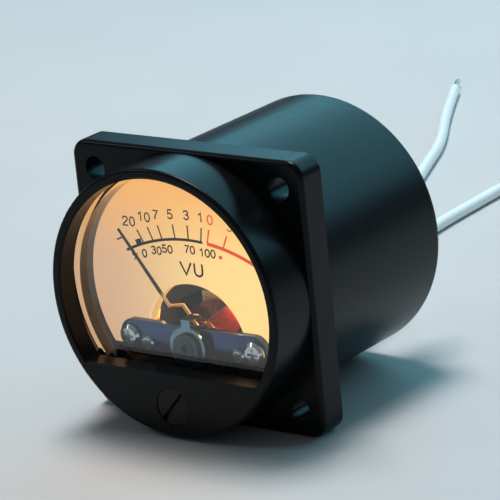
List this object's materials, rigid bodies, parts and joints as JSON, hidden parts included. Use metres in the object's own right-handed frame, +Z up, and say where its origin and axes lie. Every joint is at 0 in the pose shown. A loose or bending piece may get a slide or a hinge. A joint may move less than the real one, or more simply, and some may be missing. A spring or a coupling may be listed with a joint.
{
  "type": "analog vu meter",
  "caption": "Small round analog volume-unit panel meter with a square flange, backlit dial and open moving-coil movement",
  "frame": {"origin": "centre of the four fixing holes, on the rear face of the flange, on the barrel's axis", "axes": "+X right seen from the front, +Y from the front to the rear along the barrel, +Z up"},
  "size_m": [0.0742, 0.1523, 0.035],
  "materials": {
    "black_moulding": "fine satin black phenolic moulding with soft highlights",
    "clear_acrylic": "clear polished acrylic",
    "black_barrel": "turned satin black plastic with fine circumferential lines",
    "dial_print": "translucent cream plastic, printed and lit from behind",
    "light_acrylic": "clear acrylic with a sanded edge",
    "white_plastic": "matte white plastic",
    "board_green": "green laminate board",
    "lamp_glass": "warm lit glass envelope",
    "brass_plain": "turned brass",
    "nickel_steel": "bright nickel plate",
    "soft_iron": "black finished soft iron",
    "magnet_dark": "ground dark magnet with a polished rim",
    "coil_aluminium": "thin bright aluminium",
    "red_enamel": "red enamelled copper winding",
    "pivot_steel": "polished steel",
    "spring_bronze": "phosphor bronze strip",
    "pointer_black": "aluminium painted black",
    "lever_metal": "dark plated steel",
    "blued_steel": "dark blued steel",
    "fibre_washer": "red vulcanised fibre",
    "tinned_copper": "tinned stranded copper",
    "black_rubber": "black rubber",
    "white_lead": "white insulated wire"
  },
  "bodies": {
    "housing": {"front_bezel": "black_moulding", "window_lens": "clear_acrylic", "rear_case": "black_barrel", "dial_plate": "dial_print", "light_guide": "light_acrylic", "light_box": "white_plastic", "lamp_board": "board_green", "lamp_bulbs": "lamp_glass", "lamp_caps": "brass_plain", "movement_base": "black_barrel", "bridge_pillars": "brass_plain", "bridge_screws": "nickel_steel", "base_screws": "nickel_steel", "front_bridge": "nickel_steel", "rear_bridge": "nickel_steel", "magnet_yoke": "soft_iron", "front_tie_spacers": "brass_plain", "rear_tie_spacers": "brass_plain", "tie_screws": "nickel_steel", "rear_tie_screws": "nickel_steel", "core_magnet": "magnet_dark", "core_spacers": "brass_plain", "rear_hairspring": "spring_bronze", "spring_anchor": "brass_plain", "front_jewel_screw": "blued_steel", "rear_jewel_screw": "blued_steel", "front_lock_nut": "blued_steel", "rear_lock_nut": "nickel_steel", "terminal_studs": "brass_plain", "terminal_washers": "fibre_washer", "solder_tags": "tinned_copper", "terminal_nuts": "nickel_steel", "case_screws": "nickel_steel", "lead_grommet": "black_rubber", "lamp_lead_upper": "white_lead", "lamp_lead_lower": "white_lead", "lead_tips": "tinned_copper", "lamp_wires_inner": "white_lead", "signal_wires": "white_lead"},
    "moving_coil": {"coil_former": "coil_aluminium", "coil_winding": "red_enamel", "front_pivot": "pivot_steel", "rear_pivot": "pivot_steel", "pointer": "pointer_black", "balance_arms": "pointer_black", "balance_weights": "brass_plain"},
    "zero_lever_group": {"zero_lever": "lever_metal", "front_hairspring": "spring_bronze"},
    "zero_screw": {"zero_adjust_screw": "black_moulding"}
  },
  "joints": [
    {"name": "zero_screw_turn", "type": "hinge", "parent": "housing", "child": "zero_screw", "pos_m": [0, -0.0095, -0.0132], "axis": [0, 1, 0], "range_deg": [-40, 40]},
    {"name": "zero_lever_turn", "type": "hinge", "parent": "housing", "child": "zero_lever_group", "pos_m": [0, -0.0063, -0.0069], "axis": [0, 1, 0], "range_deg": [-6, 6], "deforming": ["front_hairspring"]},
    {"name": "pointer_turn", "type": "hinge", "parent": "housing", "child": "moving_coil", "pos_m": [0, 0, -0.0069], "axis": [0, 1, 0], "range_deg": [-4, 77], "stiffness_Nm_per_rad": 0.00001, "deforming": ["rear_hairspring"]}
  ],
  "couplings": [
    {"joint": "zero_lever_turn", "follows": "zero_screw_turn", "ratio": -0.1455}
  ]
}
